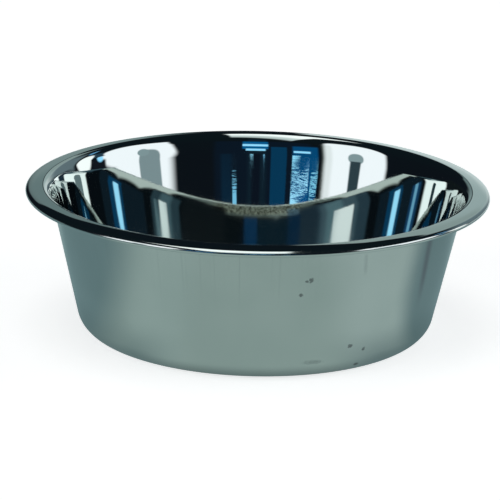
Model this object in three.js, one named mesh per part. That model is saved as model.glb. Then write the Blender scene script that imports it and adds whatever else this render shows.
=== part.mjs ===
// A round steel feeding bowl for pets, drawn from one flat sheet.
// Its tapered wall flares into a rim that turns out, falls a little and ends in a rolled edge.
// Sizes are millimetres and angles degrees. +Z is up, and the origin is on the standing plane, on the bowl's axis.
// Every bend's radius is that of the middle of the sheet.
import * as THREE from "three";

// Overall sizes of the finished bowl
const rimDiameter = 286; // across the rolled edge, from outside to outside
const bowlHeight = 91.5; // from the standing plane to the crown of the rim
const sheetThickness = 0.8;

// The rim, from its crown outwards
const brimWidth = 10.2; // from the crown out to the outside of the rolled edge
const brimFall = 8; // slope of the brim, down and outwards
const beadDiameter = 3.2; // outside of the rolled edge
const curlTurn = 285; // how far the edge of the sheet is rolled round

// The wall leans out, and its bend into the rim tightens on the way up: a flare, a throat and the lip
const wallTaper = 12.9; // lean of the wall from upright
const flareRadius = 60;
const flareTurn = 8;
const throatRadius = 10;
const throatTurn = 22;
const lipRadius = 4;

// The base: a ring that stands on the floor, and a panel pressed up inside it so that the bowl can't rock
const footBendRadius = 15; // bend between the base and the wall
const standingRingWidth = 19;
const panelRise = 1.2;
const panelBendRadius = 3; // each of the two bends of the step

// Facets
const facetsAround = 88;
const footBendFacets = 7;
const flareFacets = 3;
const throatFacets = 4;
const lipFacets = 5;
const stepBendFacets = 2;
const curlFacets = 12;

const steelColour = 0xb9c0bf;
const radians = THREE.MathUtils.degToRad;
const halfSheet = sheetThickness / 2;
const wallHeading = radians(90 - wallTaper);

// The middle line of the sheet in the (radius, height) plane, walked outwards.
// Each stop holds a place on that line and the heading of the sheet there, counted up from level.
class SheetLine {
  constructor(radius, height, heading) {
    this.stops = [{ radius, height, heading }];
  }

  get end() {
    return this.stops.at(-1);
  }

  straight(length) {
    const { radius, height, heading } = this.end;
    this.stops.push({
      radius: radius + length * Math.cos(heading),
      height: height + length * Math.sin(heading),
      heading,
    });
    return this;
  }

  // A bend that ends at the given heading.
  bendTo(endHeading, bendRadius, facets) {
    const start = this.end;
    const turn = endHeading - start.heading;
    const side = Math.sign(turn) * bendRadius;
    for (let i = 1; i <= facets; i++) {
      const heading = start.heading + (turn * i) / facets;
      this.stops.push({
        radius: start.radius + side * (Math.sin(heading) - Math.sin(start.heading)),
        height: start.height + side * (Math.cos(start.heading) - Math.cos(heading)),
        heading,
      });
    }
    return this;
  }

  movedOut(distance) {
    for (const stop of this.stops) stop.radius += distance;
    return this;
  }

  // Carries on along a line that begins where this one ends.
  join(next) {
    this.stops.push(...next.stops.slice(1));
    return this;
  }

  // The line moved sideways by a distance, to the upper and inner side of the sheet when it is positive.
  offset(distance) {
    return this.stops.map(
      ({ radius, height, heading }) =>
        new THREE.Vector2(
          radius - distance * Math.sin(heading),
          height + distance * Math.cos(heading),
        ),
    );
  }
}

// Sheet of full thickness along a line, revolved about the bowl's axis.
// A line that begins on the axis gives a dish, and any other line gives a ring that closes on itself.
function revolveSheet(name, line) {
  const upper = line.offset(halfSheet);
  const lower = line.offset(-halfSheet);
  const section = [...lower, ...upper.reverse()];
  if (line.stops[0].radius > 0) section.push(section[0].clone());
  const geometry = new THREE.LatheGeometry(section, facetsAround);
  const material = new THREE.MeshStandardMaterial({ color: steelColour, roughness: 0.15, metalness: 1 });
  const mesh = new THREE.Mesh(geometry, material);
  mesh.name = name;
  mesh.rotation.x = Math.PI / 2; // the lathe turns about Y, and the bowl stands along Z
  return mesh;
}

// From the top of the straight wall to the crown, where the sheet lies level.
function bendIntoRim(line) {
  const flareEnd = wallHeading - radians(flareTurn);
  const throatEnd = flareEnd - radians(throatTurn);
  return line
    .bendTo(flareEnd, flareRadius, flareFacets)
    .bendTo(throatEnd, throatRadius, throatFacets)
    .bendTo(0, lipRadius, lipFacets);
}

// From the standing ring up to the crown. The wall takes the height that the bends leave it, and the whole
// line moves out until its crown lies a brim's width inside the rolled edge.
function drawWall() {
  const line = new SheetLine(0, halfSheet, 0).bendTo(wallHeading, footBendRadius, footBendFacets);
  const bendRise = bendIntoRim(new SheetLine(0, 0, wallHeading)).end.height;
  const wallRise = bowlHeight - halfSheet - bendRise - line.end.height;
  bendIntoRim(line.straight(wallRise / Math.sin(wallHeading)));
  return line.movedOut(rimDiameter / 2 - brimWidth - line.end.radius);
}

// From the axis out over the raised panel, down its step and across the standing ring to the foot of the wall.
// The step is two equal and opposite bends, which together drop by the panel's rise.
function drawBase(footRadius) {
  const stepTurn = Math.acos(1 - panelRise / (2 * panelBendRadius));
  const stepWidth = 2 * panelBendRadius * Math.sin(stepTurn);
  return new SheetLine(0, halfSheet + panelRise, 0)
    .straight(footRadius - standingRingWidth - stepWidth)
    .bendTo(-stepTurn, panelBendRadius, stepBendFacets)
    .bendTo(0, panelBendRadius, stepBendFacets)
    .straight(standingRingWidth);
}

// From the crown out: the last of the lip's bend, the brim, and the edge curled down, in and back up under it.
function drawRim(crown) {
  const brimHeading = radians(-brimFall);
  const curlRadius = beadDiameter / 2 - halfSheet;
  const line = new SheetLine(crown.radius, crown.height, 0).bendTo(brimHeading, lipRadius, 1);
  const curlReach = curlRadius * (1 - Math.sin(radians(brimFall))) + halfSheet;
  const brimReach = rimDiameter / 2 - curlReach - line.end.radius;
  return line
    .straight(brimReach / Math.cos(brimHeading))
    .bendTo(brimHeading - radians(curlTurn), curlRadius, curlFacets);
}

const wallLine = drawWall();
const shellLine = drawBase(wallLine.stops[0].radius).join(wallLine);
const rimLine = drawRim(shellLine.end);

const bowl = new THREE.Group();
bowl.add(revolveSheet("bowl_shell", shellLine));
bowl.add(revolveSheet("rolled_rim", rimLine));

export default bowl;
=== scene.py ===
# %% [markdown]
# A steel feeding bowl, polished inside
#
# The real bowl is one disc of thin steel, deep-drawn in a press: a flat base, a tapered wall and
# a rim that turns out and ends in a rolled edge. Polished steel has hardly any look of its own.
# What we see in it is the room, bent by its curves, so two things decide this picture: the
# exact section of the sheet, and the lights that stand round it.
#
# The measured part comes first. It is loaded as a fixed frame, and everything below is built
# round it, in metres, in the same place.

import math

import bpy
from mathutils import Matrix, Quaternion, Vector


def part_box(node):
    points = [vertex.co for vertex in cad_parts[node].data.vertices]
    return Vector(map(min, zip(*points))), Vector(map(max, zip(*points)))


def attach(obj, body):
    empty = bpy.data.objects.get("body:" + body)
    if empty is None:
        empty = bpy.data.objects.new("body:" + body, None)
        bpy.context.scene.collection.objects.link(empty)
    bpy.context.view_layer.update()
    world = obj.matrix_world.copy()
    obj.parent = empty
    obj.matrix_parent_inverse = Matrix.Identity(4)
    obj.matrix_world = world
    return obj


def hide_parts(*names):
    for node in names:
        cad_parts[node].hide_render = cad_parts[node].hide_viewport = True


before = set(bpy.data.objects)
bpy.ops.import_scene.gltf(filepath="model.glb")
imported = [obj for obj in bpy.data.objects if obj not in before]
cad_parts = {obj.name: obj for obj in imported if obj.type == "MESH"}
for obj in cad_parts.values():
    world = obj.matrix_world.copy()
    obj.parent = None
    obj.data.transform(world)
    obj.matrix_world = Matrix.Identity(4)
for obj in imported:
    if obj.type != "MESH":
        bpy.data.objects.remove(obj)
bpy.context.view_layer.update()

# %% [markdown]
# Step 1. The section of the sheet
#
# A body of revolution needs one drawing: its section, from the axis out to the rolled edge. It
# could be typed in as a list of points, but then the bends would be guesses, and a mirror shows
# the smallest kink. A press shapes the sheet by straights and bends of one radius, so we walk
# its middle line in the same way. Each stop keeps the heading of the sheet there, and that
# heading later gives the exact direction in which the polished surface faces.

# %% Sizes of the pressed sheet, in metres and degrees
RIM_DIAMETER = 0.286
BOWL_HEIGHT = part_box("bowl_shell")[1].z
SHEET = 0.0008
WALL_TAPER = 12.9  # how far the wall leans from upright

# The wall bends into the rim in three stages, each tighter than the last: flare, throat and lip.
FLARE_RADIUS, FLARE_TURN = 0.060, 8
THROAT_RADIUS, THROAT_TURN = 0.010, 22
LIP_RADIUS = 0.004

# The brim is a little domed. Its slopes are those by the crown, half-way and where it rolls over.
BRIM_WIDTH = 0.0102  # from the crown of the rim out to the outside of the rolled edge
BRIM_SLOPES = (3.5, 5.5, 14)

# It rolls over gently to a steep slope, and from there its edge is curled tightly.
ROLL_SLOPE, ROLL_RADIUS = 50, 0.0034
CURL_HEADING, CURL_RADIUS = -293, 0.0013

# The base stands on a ring, because the panel inside that ring is pressed up.
FOOT_BEND_RADIUS = 0.015
STANDING_RING_WIDTH = 0.019
PANEL_RISE = 0.0012
PANEL_BEND_RADIUS = 0.003

HALF_SHEET = SHEET / 2
WALL_HEADING = math.radians(90 - WALL_TAPER)

# The most that one facet of each bend may turn, and the number of pieces in each straight.
BEND_STEP = math.radians(2)
PANEL_BEND_STEP = 2 * BEND_STEP
BRIM_STEP = math.radians(1)
ROLL_STEP = 4 * BRIM_STEP
CURL_STEP = math.radians(7)
WALL_PIECES = 10
PANEL_PIECES = 8
RING_PIECES = 3
print(f"sheet of {SHEET * 1000:.1f} mm, for a bowl {BOWL_HEIGHT * 1000:.1f} mm high")


# %% The middle line of the sheet, walked outwards
class SheetLine:
    """Stops of (radius, height, heading). A heading counts up from level, in radians."""

    def __init__(self, radius, height, heading):
        self.stops = [(radius, height, heading)]

    def straight(self, length, pieces):
        step = length / pieces
        for _ in range(pieces):
            radius, height, heading = self.end()
            out, up = step * math.cos(heading), step * math.sin(heading)
            self.stops.append((radius + out, height + up, heading))
        return self

    def bend_to(self, end_heading, bend_radius, step=BEND_STEP):
        radius, height, start = self.end()
        turn = end_heading - start
        side = math.copysign(bend_radius, turn)
        facets = math.ceil(abs(turn) / step)
        for i in range(1, facets + 1):
            heading = start + turn * i / facets
            out = side * (math.sin(heading) - math.sin(start))
            up = side * (math.cos(start) - math.cos(heading))
            self.stops.append((radius + out, height + up, heading))
        return self

    def moved_out(self, distance):
        self.stops = [(radius + distance, height, heading) for radius, height, heading in self.stops]
        return self

    def join(self, other):
        self.stops += other.stops[1:]
        return self

    def end(self):
        return self.stops[-1]


# %% Base, wall and rim
def bend_into_rim(line):
    """From the straight wall to the crown: the bends tighten on the way up."""
    flare_end = WALL_HEADING - math.radians(FLARE_TURN)
    throat_end = flare_end - math.radians(THROAT_TURN)
    line.bend_to(flare_end, FLARE_RADIUS)
    line.bend_to(throat_end, THROAT_RADIUS)
    return line.bend_to(0, LIP_RADIUS)


def wall_line():
    """The wall takes the height that the bends leave it, and the crown lies a brim's width inside."""
    line = SheetLine(0, HALF_SHEET, 0).bend_to(WALL_HEADING, FOOT_BEND_RADIUS)
    bend_rise = bend_into_rim(SheetLine(0, 0, WALL_HEADING)).end()[1]
    wall_rise = BOWL_HEIGHT - HALF_SHEET - bend_rise - line.end()[1]
    bend_into_rim(line.straight(wall_rise / math.sin(WALL_HEADING), WALL_PIECES))
    return line.moved_out(RIM_DIAMETER / 2 - BRIM_WIDTH - line.end()[0])


def base_line(foot_radius):
    """The panel in the middle is pressed up, so that the bowl stands on a ring and can't rock."""
    step_turn = math.acos(1 - PANEL_RISE / (2 * PANEL_BEND_RADIUS))
    step_width = 2 * PANEL_BEND_RADIUS * math.sin(step_turn)
    line = SheetLine(0, HALF_SHEET + PANEL_RISE, 0)
    line.straight(foot_radius - STANDING_RING_WIDTH - step_width, PANEL_PIECES)
    line.bend_to(-step_turn, PANEL_BEND_RADIUS, PANEL_BEND_STEP)
    line.bend_to(0, PANEL_BEND_RADIUS, PANEL_BEND_STEP)
    return line.straight(STANDING_RING_WIDTH, RING_PIECES)


def rim_line(crown):
    """The brim falls a little outwards, rolls over, and its edge is curled in and back up under it."""
    slopes = [math.radians(slope) for slope in BRIM_SLOPES]
    roll_slope = math.radians(ROLL_SLOPE)
    roll_reach = ROLL_RADIUS * (math.sin(roll_slope) - math.sin(slopes[-1]))
    curl_reach = CURL_RADIUS * (1 - math.sin(roll_slope)) + HALF_SHEET
    line = SheetLine(crown[0], crown[1], 0).bend_to(-slopes[0], LIP_RADIUS)
    half_reach = (RIM_DIAMETER / 2 - roll_reach - curl_reach - line.end()[0]) / 2
    for gentle, steep in zip(slopes, slopes[1:]):
        line.bend_to(-steep, half_reach / (math.sin(steep) - math.sin(gentle)), BRIM_STEP)
    line.bend_to(-roll_slope, ROLL_RADIUS, ROLL_STEP)
    return line.bend_to(math.radians(CURL_HEADING), CURL_RADIUS, CURL_STEP)


# %% Walk the whole section
wall = wall_line()
shell_section = base_line(wall.stops[0][0]).join(wall)
rim_section = rim_line(shell_section.end())
crown_radius, crown_height, _ = shell_section.end()
print(f"section: {len(shell_section.stops)} stops in the shell, {len(rim_section.stops)} in the rim")
print(f"crown of the rim at radius {crown_radius * 1000:.1f} mm, {crown_height * 1000:.1f} mm up")

# %% [markdown]
# Step 2. From the section to a mesh
#
# A Screw modifier would turn the section round the axis, but it works out how the surface faces
# from its own facets. In a mirror that shows as bands. Here we know better: at every stop the
# sheet faces square to its heading. So the mesh is made point by point, and those directions
# are stored with it as custom normals. The facets then vanish from every reflection.

# %% The outline of the sheet's thickness, and its turn round the axis
SEGMENTS = 360


def sheet_sides(stops):
    """(radius, height, (normal out, normal up)): out on the lower side and back on the upper one."""

    def side(stop, way):
        radius, height, heading = stop
        out, up = way * math.sin(heading), -way * math.cos(heading)
        return radius + HALF_SHEET * out, height + HALF_SHEET * up, (out, up)

    return [side(stop, 1) for stop in stops] + [side(stop, -1) for stop in reversed(stops)]


def turned_round(sides):
    """The places and the normals of all the sides, segment after segment."""
    places = []
    facing = []
    for j in range(SEGMENTS):
        angle = math.tau * j / SEGMENTS
        c, s = math.cos(angle), math.sin(angle)
        for radius, height, (out, up) in sides:
            places.append((radius * c, radius * s, height))
            facing.append((out * c, out * s, up))
    return places, facing


def cut_normal(heading, angle):
    """The way in which the cut through the sheet faces, at an end of its line."""
    out, up = math.cos(heading), math.sin(heading)
    return out * math.cos(angle), out * math.sin(angle), up


# %% Revolve a line of sheet, with its thickness and its true normals
def revolve_sheet(name, line, upper_finish, lower_finish):
    """A closed piece of sheet. Its upper (inner) and lower (outer) sides can have their own finish."""
    stops = line.stops
    sides = sheet_sides(stops)
    places, facing = turned_round(sides)
    ring = len(sides)
    outer_cut, inner_cut = len(stops) - 1, ring - 1
    on_axis = stops[0][0] == 0  # then there is no inner cut, and triangles close the middle
    faces = []
    finishes = []
    normals = []
    for j in range(SEGMENTS):
        here, there = j * ring, (j + 1) % SEGMENTS * ring
        middle = math.tau * (j + 0.5) / SEGMENTS
        for i in range(ring):
            if on_axis and i == inner_cut:
                continue
            after = (i + 1) % ring
            corners = (here + i, there + i, there + after, here + after)
            if on_axis and i == 0:
                corners = (0, there + after, here + after)
            elif on_axis and after == inner_cut:
                corners = (here + i, there + i, inner_cut)
            faces.append(corners)
            finishes.append(0 if i >= outer_cut else 1)
            if i == outer_cut:
                normals += [cut_normal(stops[-1][2], middle)] * len(corners)
            elif i == inner_cut:
                normals += [cut_normal(stops[0][2] + math.pi, middle)] * len(corners)
            else:
                normals += [facing[corner] for corner in corners]

    mesh = bpy.data.meshes.new(name)
    mesh.from_pydata(places, [], faces)
    mesh.materials.append(upper_finish)
    mesh.materials.append(lower_finish)
    mesh.polygons.foreach_set("material_index", finishes)
    mesh.polygons.foreach_set("use_smooth", [True] * len(faces))
    mesh.normals_split_custom_set(normals)
    piece = bpy.data.objects.new(name, mesh)
    bpy.context.scene.collection.objects.link(piece)
    mesh.calc_loop_triangles()
    print(f"{name}: {len(mesh.loop_triangles)} triangles")
    return piece


# %% [markdown]
# Step 3. A way to write finishes
#
# A finish in Blender is a net of small nodes. Drawn by hand it soon looks like spaghetti, and
# written in Python it is a page of links. The class below lets an expression such as
# 1 - mask * 0.5 add its own Math nodes, so that a finish reads like the formula that it is.

# %% Wires and nodes
class Wire:
    """An output socket. Sums, products and powers of wires add the Math nodes that work them out."""

    def __init__(self, tree, socket):
        self.tree = tree
        self.socket = socket

    def node(self, kind, settings=None, inputs=None, output=0):
        return add_node(self.tree, kind, settings, inputs, output)

    def math(self, operation, *others):
        inputs = dict(enumerate((self, *others)))
        return self.node("Math", {"operation": operation}, inputs)

    def __add__(self, other):
        return self.math("ADD", other)

    def __mul__(self, other):
        return self.math("MULTIPLY", other)

    def __sub__(self, other):
        return self.math("SUBTRACT", other)

    def __rsub__(self, other):
        return self.node("Math", {"operation": "SUBTRACT"}, {0: other, 1: self})

    def __truediv__(self, other):
        return self.math("DIVIDE", other)

    def __pow__(self, other):
        return self.math("POWER", other)

    __radd__ = __add__
    __rmul__ = __mul__

    def ramp(self, low, high, to_low=0.0, to_high=1.0):
        """Goes smoothly from to_low to to_high while this value goes from low to high."""
        return self.node(
            "MapRange",
            {"interpolation_type": "SMOOTHSTEP"},
            {"Value": self, "From Min": low, "From Max": high, "To Min": to_low, "To Max": to_high},
        )

    def between(self, low, high, soft):
        """1 between low and high, and 0 outside, with edges that are soft over that width."""
        rise = self.ramp(low - soft / 2, low + soft / 2)
        fall = self.ramp(high - soft / 2, high + soft / 2, 1.0, 0.0)
        return rise * fall

    def split(self):
        separate = self.node("SeparateXYZ", {}, {0: self})
        sockets = separate.socket.node.outputs
        return [Wire(self.tree, sockets[axis]) for axis in "XYZ"]


def add_node(tree, kind, settings=None, inputs=None, output=0):
    """Adds a shader node: its settings first, then the values or wires of its sockets."""
    made = tree.nodes.new("ShaderNode" + kind)
    for name, value in (settings or {}).items():
        setattr(made, name, value)
    for name, value in (inputs or {}).items():
        if isinstance(value, Wire):
            tree.links.new(value.socket, made.inputs[name])
        else:
            made.inputs[name].default_value = value
    return Wire(tree, made.outputs[output])


# %% Start a net of nodes, mix colours in it, and end it
MIX_FACTOR, MIX_BASE, MIX_OVER, MIX_RESULT = 0, 6, 7, 2  # the Mix node's sockets for colours


def new_tree(owner):
    owner.use_nodes = True
    owner.node_tree.nodes.clear()
    return owner.node_tree


def mix_colours(mask, base, over):
    """The colour over painted on base, as far as the mask says. Either can be a wire or a colour."""
    base, over = [c if isinstance(c, Wire) else (*c, 1) for c in (base, over)]
    inputs = {MIX_FACTOR: mask, MIX_BASE: base, MIX_OVER: over}
    return add_node(mask.tree, "Mix", {"data_type": "RGBA"}, inputs, MIX_RESULT)


def finish_tree(tree, shader, kind="Material"):
    tree.links.new(shader.socket, tree.nodes.new("ShaderNodeOutput" + kind).inputs["Surface"])
    print(f"{kind.lower()} of {len(tree.nodes)} nodes")


# %% [markdown]
# Step 4. The finishes of the steel
#
# Both finishes are metal: their colour is the tint of what they mirror. Their marks are so
# shallow that only a Bump node can hold them. An image of scratches would need the surface laid
# out flat. Noise doesn't: it is read from the direction round the axis and the way along the
# sheet. Few marks round the bowl and many along the sheet give rings, and the other way about
# gives upright lines.

# %% Where a point lies on the bowl, and noise over those places
STEEL = (0.56, 0.60, 0.59)
TO_DEGREES = math.degrees(1)
LEAST_RADIUS = 0.0001  # keeps the direction sound on the axis itself


def bowl_places(tree):
    """Wires for the direction from the axis (x and y of unit length), the radius and the height."""
    x, y, height = add_node(tree, "TexCoord", output="Object").split()
    radius = (x * x + y * y).math("SQRT").math("MAXIMUM", LEAST_RADIUS)
    return x / radius, y / radius, radius, height


def noise(places, around, along, detail):
    """Noise with about that many marks in a radian round the bowl, and in a metre of sheet."""
    east, north, radius, height = places
    way = (radius + height) * along
    vector = east.node("CombineXYZ", {}, {0: east * around, 1: north * around, 2: way})
    inputs = {"Vector": vector, "Scale": 1.0, "Detail": detail, "Roughness": 0.5}
    return east.node("TexNoise", {}, inputs)


def finish_steel(tree, tint, roughness, depth):
    """Links the wires of a finish to the shader. The depth of its marks is in metres."""
    bump = add_node(tree, "Bump", {}, {"Height": depth, "Distance": 1.0, "Strength": 1.0})
    inputs = {"Base Color": tint, "Metallic": 1.0, "Roughness": roughness, "Normal": bump}
    finish_tree(tree, add_node(tree, "BsdfPrincipled", {}, inputs))


# %% [markdown]
# The polish. A spinning mop polishes the inside and the rim, and leaves rings finer than a hair.
# Under them the sheet swells a little, and the far wall has two patches of small ripples, which
# break up the strips of light. The lip on our side is worn rough, and light and dark specks are
# painted on its inside as a painted reflection: from our side they are seen only in the mirror of
# the steel, as a speckled beige band.

# %% Depths and places of the marks in the polish, in metres
RING_DEPTH = 0.0000006
LOW_RING_DEPTH = 0.0000016  # what is added low in the bowl
SWELL_DEPTH = 0.00002
RIPPLE_DEPTH = 0.000010
FAINT_RIPPLE = 0.06  # the share of the ripples that is left outside their two patches
RIPPLE_HEIGHTS = (0.053, 0.070)
LOW_HEIGHTS = (0.05, 0.02)  # the low part begins at the first and is complete at the second
LIP_HEIGHTS = (0.0835, 0.0902)
LIP_INSIDE = (0.1330, 0.1322)  # the radii between which the specks set in, towards the axis
CALM_RADIUS = 0.08  # the waves fade inside it, or they would run together into a star on the axis
POLISH_ROUGHNESS, WORN_ROUGHNESS, LOW_ROUGHNESS = 0.025, 0.09, 0.05  # the last two are added
# colours of the specks painted on the near lip: a painted reflection of the grainy beige band
DARK_SPECK, LIGHT_SPECK = (0.15, 0.14, 0.11), (0.92, 0.88, 0.77)


# %% Mirror polish
def polished_steel():
    material = bpy.data.materials.new("polished_steel")
    tree = new_tree(material)
    places = bowl_places(tree)
    east, north, radius, height = places
    rings = noise(places, around=1.5, along=1100, detail=3)
    swell = noise(places, around=2.2, along=16, detail=1)
    ripple = noise(places, around=30, along=500, detail=2)
    reflection_speck_noise = noise(places, around=22, along=950, detail=3)

    worn_and_speckled_lip = height.between(*LIP_HEIGHTS, 0.002) * north.ramp(-0.1, -0.75)
    # the inside of the near lip, where the specks of painted reflection lie
    reflection_speck_area = worn_and_speckled_lip * north.ramp(-0.70, -0.86) * radius.ramp(*LIP_INSIDE)
    low = height.ramp(*LOW_HEIGHTS)
    wavy = (east.between(0.13, 0.35, 0.06) + east.between(-0.15, -0.07, 0.04)) * north.ramp(0.5, 0.8)
    wavy = FAINT_RIPPLE + wavy * height.between(*RIPPLE_HEIGHTS, 0.008)
    off_centre = radius.ramp(0.0, CALM_RADIUS)

    # painted reflection: beige and dark specks, seen as a grainy band in the mirror of the far wall
    specks = mix_colours(reflection_speck_noise.ramp(0.42, 0.58), DARK_SPECK, LIGHT_SPECK)
    tint = mix_colours(reflection_speck_area, STEEL, specks)
    roughness = POLISH_ROUGHNESS + worn_and_speckled_lip * WORN_ROUGHNESS + low * LOW_ROUGHNESS
    waves = swell * SWELL_DEPTH + ripple * wavy * RIPPLE_DEPTH
    depth = rings * (low * LOW_RING_DEPTH + RING_DEPTH) + waves * off_centre
    finish_steel(tree, tint, roughness, depth)
    return material


# %% [markdown]
# The outside. It is brighter sheet that the die has drawn, with faint upright lines, a soft grain
# that blurs what it mirrors, and the wear of use: a few ragged pits, a smudge by the foot and a fine
# leaning scratch. A leaning dark streak is a painted reflection. A pit is a small ellipse with noise on
# its edge.

# %% Wear of the outside: angles from the front in degrees, heights and half sizes in millimetres
WALL_RADIUS = 110  # about half-way up the wall
PITS = [  # angle, height, half width and half height
    (15.3, 66.6, 1.5, 1.8),
    (14.1, 66.0, 1.3, 0.9),
    (12.7, 57.3, 1.3, 1.3),
    (30.4, 20.0, 1.7, 1.5),
    (35.6, 16.4, 1.2, 1.5),
    (34.2, 6.3, 1.9, 1.2),
]
SMUDGE = (18.2, 12.0, 7.0, 1.6)
RAGGED_EDGE = 2.4

# The scratch and the painted reflection of a dark streak lean. Their angles are those at floor level,
# and their heights are in metres.
LEAN = 58  # degrees round the bowl for a metre of height
SCRATCH_ANGLES, SCRATCH_HEIGHTS = (34.9, 35.8), (0.068, 0.080)
STREAK_REFLECTION_ANGLES, STREAK_REFLECTION_HEIGHTS = (58.6, 61.0), (0.045, 0.088)

DRAWN_DEPTH, GRAIN_DEPTH, PIT_DEPTH = 0.000003, 0.0000004, 0.00005  # metres
SATIN_ROUGHNESS, CLOUD_ROUGHNESS = 0.10, 0.08  # the second is added


# %% Drawn sheet
def satin_steel():
    material = bpy.data.materials.new("satin_steel")
    tree = new_tree(material)
    places = bowl_places(tree)
    east, north, _, height = places
    turned = east.math("ARCTAN2", north * -1) * TO_DEGREES
    drawn = noise(places, around=90, along=4, detail=3)
    clouds = noise(places, around=2.5, along=18, detail=2)
    grain = noise(places, around=400, along=1500, detail=1)
    ragged = noise(places, around=110, along=900, detail=2)

    def mark(angle, up, half_width, half_height):
        sideways = (turned - angle) * (math.radians(WALL_RADIUS) / half_width)
        upwards = (height * 1000 - up) / half_height
        edge = sideways * sideways + upwards * upwards + ragged * RAGGED_EDGE - RAGGED_EDGE / 2
        return edge.ramp(1.2, 0.2)

    pits = mark(*PITS[0])
    for pit in PITS[1:]:
        pits = pits.math("MAXIMUM", mark(*pit))
    smudge = mark(*SMUDGE) * grain.ramp(0.42, 0.60)
    leaning = turned + height * LEAN
    scratch = leaning.between(*SCRATCH_ANGLES, 1.2) * height.between(*SCRATCH_HEIGHTS, 0.006)
    # a leaning reddish-dark streak: a painted reflection
    painted_streak_reflection = leaning.between(*STREAK_REFLECTION_ANGLES, 2.5) * height.between(*STREAK_REFLECTION_HEIGHTS, 0.03)
    lines = drawn.ramp(0.56, 0.72) * height.ramp(0.03, 0.08)

    # from the bare sheet up: clouds, drawn lines, grain, a painted reflection of a dark streak, scratch
    # with smudge, and pits
    tint = mix_colours(clouds.ramp(0.3, 0.7), (0.54, 0.585, 0.575), (0.58, 0.62, 0.61))
    tint = mix_colours(lines * 0.5, tint, (0.50, 0.54, 0.53))
    tint = mix_colours(grain.ramp(0.45, 0.75) * 0.35, tint, (0.50, 0.53, 0.51))
    tint = mix_colours(painted_streak_reflection * 0.75, tint, (0.35, 0.30, 0.33))
    tint = mix_colours(scratch * 0.25 + smudge * 0.8, tint, (0.24, 0.26, 0.26))
    tint = mix_colours(pits * 0.75, tint, (0.14, 0.14, 0.15))
    depth = drawn * DRAWN_DEPTH + grain * GRAIN_DEPTH - pits * PIT_DEPTH
    finish_steel(tree, tint, SATIN_ROUGHNESS + clouds * CLOUD_ROUGHNESS, depth)
    return material


# %% The two pieces of the bowl
polished = polished_steel()
satin = satin_steel()
shell = revolve_sheet("deep_drawn_shell", shell_section, polished, satin)
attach(shell, "root")
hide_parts("bowl_shell")
rim = revolve_sheet("brim_and_rolled_edge", rim_section, polished, polished)
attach(rim, "root")
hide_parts("rolled_rim")

# %% [markdown]
# Step 5. The studio
#
# The floor is a pale sheet. Two soft boxes stand in front, one on each side, a big pale sheet
# hangs overhead, and the rest of the studio is dark, with a few thin blue strips of light. All of
# them are painted on the world by direction: azimuth is counted from the camera's side, positive
# to the right, and elevation from the horizon. A mirror asks only for the direction in which it
# looks, so this is the quickest honest studio for a polished thing.
#
# One thing needs care. What is painted on the world is infinitely far away, but a real soft box
# stands an arm's length off, and light that meets the steel twice sees it from another place. So
# the Light Path node's ray depth tells the first mirror image from the second, and some patches
# are for one of them only.

# %% Directions, and how often the light has met the steel
FIRST_IMAGE_DEPTH = 2.5  # the world's ray depth is 2 after one meeting with the steel, and 3 after two
world = bpy.data.worlds.new("studio")
bpy.context.scene.world = world
sky = new_tree(world)
across, towards_y, towards_z = add_node(sky, "TexCoord", output="Generated").split()
ahead = towards_y * -1
azimuth = across.math("ARCTAN2", ahead) * TO_DEGREES
elevation = towards_z.math("ARCSINE") * TO_DEGREES
behind = azimuth.math("ABSOLUTE")
on_left = azimuth.math("LESS_THAN", 0)
on_right = 1 - on_left
once = add_node(sky, "LightPath", output="Ray Depth").math("LESS_THAN", FIRST_IMAGE_DEPTH)
twice = 1 - once


# %% Shapes of light, in degrees
def panel(azimuths, elevations, soft, soft_upwards=None, lean=0.0):
    """An upright patch. Its sides may lean by so many degrees of azimuth per degree upwards."""
    leaning = azimuth - (elevation - elevations[0]) * lean if lean else azimuth
    return leaning.between(*azimuths, soft) * elevation.between(*elevations, soft_upwards or soft)


def rounded(centre, half, soft, power=3):
    """A patch with round corners: a circle for power 2, nearer to a rectangle for more."""
    sideways = ((azimuth - centre[0]) / half[0]).math("ABSOLUTE") ** power
    upwards = ((elevation - centre[1]) / half[1]).math("ABSOLUTE") ** power
    return (sideways + upwards).ramp(1 - soft, 1 + soft, 1.0, 0.0)


# %% Colours of light
SOFT_BOX = (2.3, 2.4, 2.4)
PALE_BOX = (1.52, 1.56, 1.63)  # the same boxes, seen straight through the weaker middle of their cloth
BLUE_STRIP = (0.5, 1.2, 1.7)

# %% [markdown]
# Each patch of light is a mask and a colour, and a later one covers the earlier ones. First come
# the things behind the bowl and above it, then the boxes with their lamps, and last the thin blue
# strips.

# %% Behind the bowl: two grey backdrops, with a dark gap between them
left_back = on_left * behind.ramp(160, 175) * behind.ramp(178.8, 176.8) * elevation.ramp(22, 20.8)
right_back = on_right * behind.ramp(150, 168) * behind.ramp(179.2, 178.6)
right_back = right_back * (elevation + behind * 0.8).ramp(166.8, 165)
right_flank = on_right * behind.between(126, 162, 4) * elevation.ramp(1, 6) * elevation.ramp(40, 28)
patches = [
    (left_back, (0.25, 0.34, 0.34)),
    (left_back * elevation.ramp(11, 15), (0.18, 0.26, 0.265)),
    (right_flank, (0.18, 0.25, 0.28)),
    (right_back, (0.68, 0.79, 0.79)),
    (right_back * elevation.ramp(8, 15), (0.42, 0.54, 0.54)),
    (right_back * elevation.ramp(17, 22), (0.35, 0.45, 0.44)),
]

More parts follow.
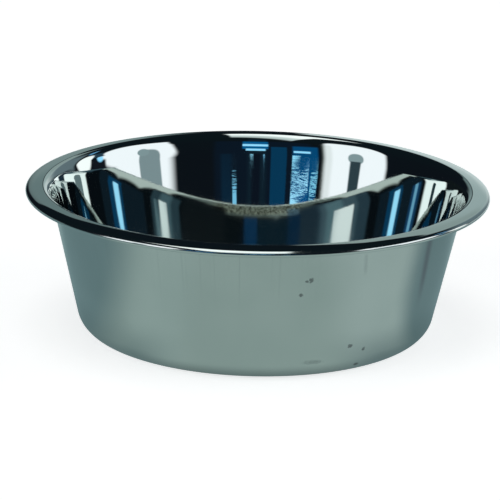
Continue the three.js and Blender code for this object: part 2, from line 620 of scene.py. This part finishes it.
# %% Overhead: a pale sheet, with straight edges across and ahead, under a dim ceiling
raised = elevation.ramp(20, 25)
sheet_front = ahead + across * 0.42
sheet = once * raised * (across - ahead * 0.12).between(-0.36, 0.145, 0.03) * ahead.ramp(-0.28, -0.22)
second_sheet = twice * raised * (across / (1.5 - ahead).math("MAXIMUM", 0.1)).between(-0.545, 0.50, 0.06)
second_sheet = second_sheet * ahead.ramp(0.24, 0.34)
second_sheet = second_sheet * (ahead + across.math("ABSOLUTE") * 0.3).ramp(0.885, 0.83)
ceiling = elevation.ramp(39.5, 46)
middle_above = across.between(-0.40, 0.45, 0.1) * ahead.ramp(0.30, 0.20) * elevation.ramp(55, 62)
patches += [
    (sheet * sheet_front.ramp(0.66, 0.50), (0.85, 0.97, 0.96)),
    (sheet * sheet_front.ramp(0.45, 0.20), (1.65, 1.70, 1.70)),
    (twice * behind.ramp(95, 125) * ceiling, (0.27, 0.33, 0.30)),
    (twice * on_right * behind.between(140, 165, 8) * ceiling, (0.40, 0.49, 0.46)),
    (twice * on_left * behind.between(85, 140, 8) * elevation.ramp(60, 48), (0.012, 0.018, 0.022)),
    (twice * on_right * behind.between(85, 128, 8) * elevation.ramp(56, 46), (0.03, 0.06, 0.09)),
    (twice * middle_above, (0.24, 0.30, 0.28)),
    (second_sheet, (1.12, 1.24, 1.18)),
]

# %% The two soft boxes, narrower and with dim edges in the second image
slanting_edge = (azimuth - elevation * 0.5).ramp(38.5, 42.5)
patches += [
    (once * rounded((-59, 12), (20, 32), 0.28, 3.5), PALE_BOX),
    (once * panel((-43.5, -38), (-5, 30), 3) * 0.35, (0.80, 0.88, 0.84)),
    (once * rounded((75.9, 22), (27.6, 20), 0.28) * slanting_edge, PALE_BOX),
    (twice * panel((-82, -41), (2, 25), 5, 1), SOFT_BOX),
    (twice * panel((50, 95), (2, 25.5), 3, 1), SOFT_BOX),
    # the dim upper edge of the box on the left, from its rim in to its core
    (twice * panel((-82, -46), (24, 42), 4, 6), (0.05, 0.10, 0.13)),
    (twice * panel((-71, -57), (24, 42), 6), (0.14, 0.25, 0.30)),
    (twice * panel((-60, -50), (24, 28.9), 3, 1), (0.23, 0.38, 0.44)),
    # the same for the box on the right
    (twice * panel((39, 104), (24, 46), 5), (0.05, 0.10, 0.14)),
    (twice * panel((54, 100), (24, 46), 6), (0.11, 0.19, 0.24)),
    (twice * panel((72, 93), (24, 46), 7), (0.19, 0.34, 0.40)),
    # a bright core in each
    (twice * panel((-66.5, -56.5), (26, 30.4), 3, 1.5), (1.65, 1.8, 1.8)),
    (twice * panel((59.5, 84.5), (26, 32), 3, 2), (1.8, 1.9, 1.9)),
]

# %% The lamps in front of the soft boxes, and a strip of light on the right
patches += [
    # on the left a lamp on its stand
    (once * rounded((-58.5, 12.5), (5.0, 5.6), 0.25, 2.3), (0.37, 0.50, 0.53)),
    (panel((-61.5, -55), (-5, 9.5), 1.2), (0.045, 0.080, 0.098)),
    (twice * rounded((-57.5, 5), (3.2, 12), 0.3, 3), (0.05, 0.09, 0.11)),
    # on the right a wide one with a knob
    (rounded((66, 8), (7.0, 11), 0.25, 3), (0.33, 0.44, 0.47)),
    (once * rounded((70.5, 16), (4.0, 3.6), 0.25, 2), (0.36, 0.49, 0.52)),
    # beyond the box a dark gap, two blue spots and the strip
    (once * panel((97.5, 108), (1, 11.5), 2.5), (0.010, 0.013, 0.020)),
    (once * rounded((102, 12.5), (2.4, 3.0), 0.8, 2), (0.50, 1.20, 1.75)),
    (once * rounded((121.5, 35), (2.6, 4.0), 0.7, 2), (0.20, 0.55, 0.95)),
    (once * panel((98.5, 112), (15.5, 30), 3, lean=0.5), (0.03, 0.07, 0.11)),
    (once * rounded((116.5, 14), (7.0, 13), 0.35, 2.5), (1.6, 1.65, 1.65)),
    (twice * panel((110, 122), (1, 26), 4), SOFT_BOX),
]

# %% Blue strips in front, and the glow round them, in the first image
patches += [
    (once * panel((-31, 26), (-5, 28), 4), (0.006, 0.014, 0.028)),
    (once * panel((-4.5, 6.5), (3, 45), 3, 8), (0.008, 0.022, 0.038)),
    (once * panel((-1, 4), (3, 12), 2), (0.006, 0.011, 0.022)),
    # a thin upright strip on the right
    (once * panel((15.5, 22), (3, 11), 3), (0.006, 0.030, 0.065)),
    (once * panel((12.9, 15.3), (3, 10.5), 0.8, 0.3), (0.30, 0.85, 1.25)),
    # a blue field on the left with strips across it, and a narrower field beside it
    (once * panel((-35, -20), (3, 22.5), 2), (0.003, 0.10, 0.28)),
    (once * panel((-30.5, -20.5), (14.6, 17.0), 0.8), BLUE_STRIP),
    (once * panel((-24.5, -19.8), (10.74, 11.3), 0.8, 0.08), (0.5, 1.25, 1.7)),
    (once * panel((-30, -19.8), (3, 10.40), 0.8, 0.1), (0.003, 0.12, 0.36)),
    (once * panel((-30, -19.8), (9.90, 10.24), 0.8, 0.06), (0.6, 1.3, 1.75)),
    (once * panel((-35.4, -31.3), (9.55, 9.92), 0.6, 0.1), (0.4, 1.1, 1.5)),
    (once * panel((-16.5, -7.2), (3, 21), 1), (0.004, 0.060, 0.145)),
    # in the middle two level strips over two spots
    (once * panel((-5.5, 9.5), (18.0, 27), 1.5), (0.002, 0.16, 0.42)),
    (once * panel((-5.5, 9.5), (21.4, 23.9), 0.9), BLUE_STRIP),
    (once * panel((-4, 7.5), (15.8, 18.3), 0.9), BLUE_STRIP),
    (once * rounded((4.05, 11.35), (1.25, 0.12), 0.3, 2), (0.6, 1.4, 1.9)),
    (once * rounded((-3.2, 11.34), (0.65, 0.12), 0.3, 2), (0.4, 1.1, 1.7)),
]

# %% The strips in the second image
low_right = on_right * behind.between(138, 181, 8) * elevation.between(30, 39, 4)
low_left = on_left * behind.between(164, 181, 4) * elevation.between(30, 41, 4)
patches += [
    (twice * panel((-36, 26), (10, 29), 4), (0.012, 0.028, 0.045)),
    (twice * panel((-6, 13), (14, 26.5), 3, 2), (0.008, 0.10, 0.24)),
    (twice * panel((-1.8, 5.6), (20.6, 23.4), 3.0, 0.5), (0.9, 1.9, 2.6)),
    (twice * panel((-33, -21), (14, 19.2), 5, 1), (0.02, 0.12, 0.30)),
    (twice * panel((-29, -24.5), (14, 19.2), 2.5, 1), (0.35, 0.85, 1.25)),
    (twice * low_right, (0.008, 0.028, 0.047)),
    (twice * low_left, (0.008, 0.062, 0.165)),
    (twice * panel((126, 141), (30, 41), 5), (0.008, 0.042, 0.10)),
    (twice * panel((127, 141), (42, 54), 6), (0.14, 0.27, 0.40)),
]

# %% Paint them over each other, from the dark studio up
light = mix_colours(elevation.ramp(-10, 60), (0.006, 0.009, 0.014), (0.006, 0.012, 0.016))
for mask, radiance in patches:
    light = mix_colours(mask, light, radiance)
print(f"studio painted from {len(patches)} patches")

# %% The camera sees a plain pale studio behind the floor
PALE = (0.93, 0.94, 0.94)
by_camera = add_node(sky, "LightPath", output="Is Camera Ray")
seen = mix_colours(by_camera, light, PALE)
finish_tree(sky, add_node(sky, "Background", {}, {"Color": seen}), "World")

# %% [markdown]
# The floor is lit unevenly, and the satin outside of the bowl shows it: dull in the bowl's own
# shade and on its left and right, brighter in front. Farther out it is dark, but for the light
# that spills on it behind the bowl. So what the steel sees of the floor is painted too, by the
# place on the floor. The camera's own view of it is lit, and lifted towards white.

# %% The floor's sheet
FLOOR_HALF = 6.0
FLOOR_LEVEL = -0.00005  # a hair under the bowl, so that the two don't lie in one plane
signs = ((-1, -1), (1, -1), (1, 1), (-1, 1))
corners = [(x * FLOOR_HALF, y * FLOOR_HALF, FLOOR_LEVEL) for x, y in signs]
floor_mesh = bpy.data.meshes.new("floor")
floor_mesh.from_pydata(corners, [], [(0, 1, 2, 3)])
floor = bpy.data.objects.new("floor", floor_mesh)
bpy.context.scene.collection.objects.link(floor)
print(f"floor {2 * FLOOR_HALF:.0f} m square")

# %% Where a point lies on it
SHADE_START = 0.14  # near the rim's radius. The shade's slanting edges have their written azimuth there
LEFT_SLANT, RIGHT_SLANT = 70, 150  # degrees for a metre outwards
UNDER_BOWL = (0.118, 0.092)  # each pair of radii is where a part of the shade sets in and is complete
NEAR_FOOT = (0.150, 0.108)
FAR_OUT = (0.40, 0.60)
SHADOW = (0.12, 0.19, 0.20)
sheet_material = bpy.data.materials.new("floor_sheet")
tree = new_tree(sheet_material)
floor_x, floor_y, _ = add_node(tree, "TexCoord", output="Object").split()
distance = (floor_x * floor_x + floor_y * floor_y).math("SQRT")
floor_azimuth = floor_x.math("ARCTAN2", floor_y * -1) * TO_DEGREES
round_behind = floor_azimuth.math("ABSOLUTE")
outwards = distance - SHADE_START
lower_left = floor_azimuth - outwards * LEFT_SLANT
upper_right = floor_azimuth - outwards * RIGHT_SLANT
near_foot = distance.ramp(*NEAR_FOOT)

# %% What the steel sees of it
shade = mix_colours(lower_left.ramp(-48, -82), (0.38, 0.49, 0.465), (0.185, 0.285, 0.30))
shade = mix_colours(floor_azimuth.between(-55, -28, 16) * 0.4, shade, (0.43, 0.56, 0.54))
shade = mix_colours(floor_azimuth.between(36, 90, 26), shade, (0.46, 0.575, 0.555))
shade = mix_colours(upper_right.ramp(60, 78), shade, (0.185, 0.28, 0.295))
shade = mix_colours(round_behind.ramp(115, 150), shade, (0.33, 0.46, 0.47))
shade = mix_colours(distance.ramp(*UNDER_BOWL), shade, (0.08, 0.12, 0.125))
shade = mix_colours(floor_azimuth.between(36, 110, 30) * near_foot * 0.75, shade, SHADOW)
shade = mix_colours(floor_azimuth.between(-130, -34, 24) * near_foot * 0.6, shade, SHADOW)
spill = round_behind.between(100, 176.5, 3)
spilled = mix_colours(floor_x.ramp(-0.02, 0.02), (0.22, 0.30, 0.30), (0.68, 0.79, 0.79))
far = mix_colours(spill, (0.010, 0.025, 0.030), spilled)
carded = mix_colours(distance.ramp(*FAR_OUT), shade, far)
card = add_node(tree, "Emission", {}, {"Color": carded, "Strength": 1.0})

# %% What the camera sees of it
GLOW = 0.74
by_camera = add_node(tree, "LightPath", output="Is Camera Ray")
white = add_node(tree, "BsdfDiffuse", {}, {"Color": (0.75, 0.73, 0.72, 1)})
glow = add_node(tree, "Emission", {}, {"Color": (1, 1, 1, 1), "Strength": GLOW})
lifted = add_node(tree, "AddShader", {}, {0: white, 1: glow})
finish_tree(tree, add_node(tree, "MixShader", {}, {0: by_camera, 1: card, 2: lifted}))
floor_mesh.materials.append(sheet_material)

# %% [markdown]
# Step 6. The camera
#
# The photograph's angle was found by fitting the rim's ellipse and the foot: 16.4 degrees above
# the floor, from two metres away, with the camera rolled by a degree and a quarter. It looks a
# little past the axis, so that the bowl lies in the picture where it lies in the photograph.

# %% Angle, distance and framing
CAMERA_ELEVATION = math.radians(16.39)
CAMERA_ROLL = math.radians(1.23)
RIM_RADII_AWAY = 14
CAMERA_DISTANCE = RIM_RADII_AWAY * RIM_DIAMETER / 2
SENSOR_WIDTH = 36
PICTURE = 500  # its width and height, in pixels
PIXELS_PER_RADIUS = 230.38  # how large the rim's radius is in it
LOOK_AT_HEIGHT = 0.0449
CENTRE_X, CENTRE_Y = 256.3, 257.6  # where that point on the axis lies in the picture

# %% The point that the middle of the picture looks at
back = Vector((0, -math.cos(CAMERA_ELEVATION), math.sin(CAMERA_ELEVATION)))
right = Vector((1, 0, 0))
up = Vector((0, math.sin(CAMERA_ELEVATION), math.cos(CAMERA_ELEVATION)))
pivot = Vector((0, 0, LOOK_AT_HEIGHT))
metres_per_pixel = RIM_DIAMETER / 2 / PIXELS_PER_RADIUS
off_x, off_y = PICTURE / 2 - CENTRE_X, PICTURE / 2 - CENTRE_Y
right_by = math.cos(CAMERA_ROLL) * off_x + math.sin(CAMERA_ROLL) * off_y
down_by = math.cos(CAMERA_ROLL) * off_y - math.sin(CAMERA_ROLL) * off_x
target = pivot + right * (right_by * metres_per_pixel) - up * (down_by * metres_per_pixel)
print("the camera looks at", [round(v, 4) for v in target])

# %% Camera
camera = bpy.data.objects.new("camera", bpy.data.cameras.new("camera"))
bpy.context.scene.collection.objects.link(camera)
camera.location = pivot + back * CAMERA_DISTANCE
camera.rotation_mode = "QUATERNION"
level = (camera.location - target).to_track_quat("Z", "Y")
camera.rotation_quaternion = level @ Quaternion((0, 0, 1), CAMERA_ROLL)
camera.data.sensor_width = SENSOR_WIDTH
camera.data.lens = PIXELS_PER_RADIUS * CAMERA_DISTANCE / (RIM_DIAMETER / 2) / PICTURE * SENSOR_WIDTH
bpy.context.scene.camera = camera
print(f"camera: {camera.data.lens:.0f} mm lens, {CAMERA_DISTANCE:.2f} m away")

# %% Colours straight from the light, and enough bounces for a mirror in a mirror
BOUNCES = 24
scene = bpy.context.scene
scene.view_settings.view_transform = "Standard"
scene.cycles.max_bounces = BOUNCES
scene.cycles.glossy_bounces = BOUNCES
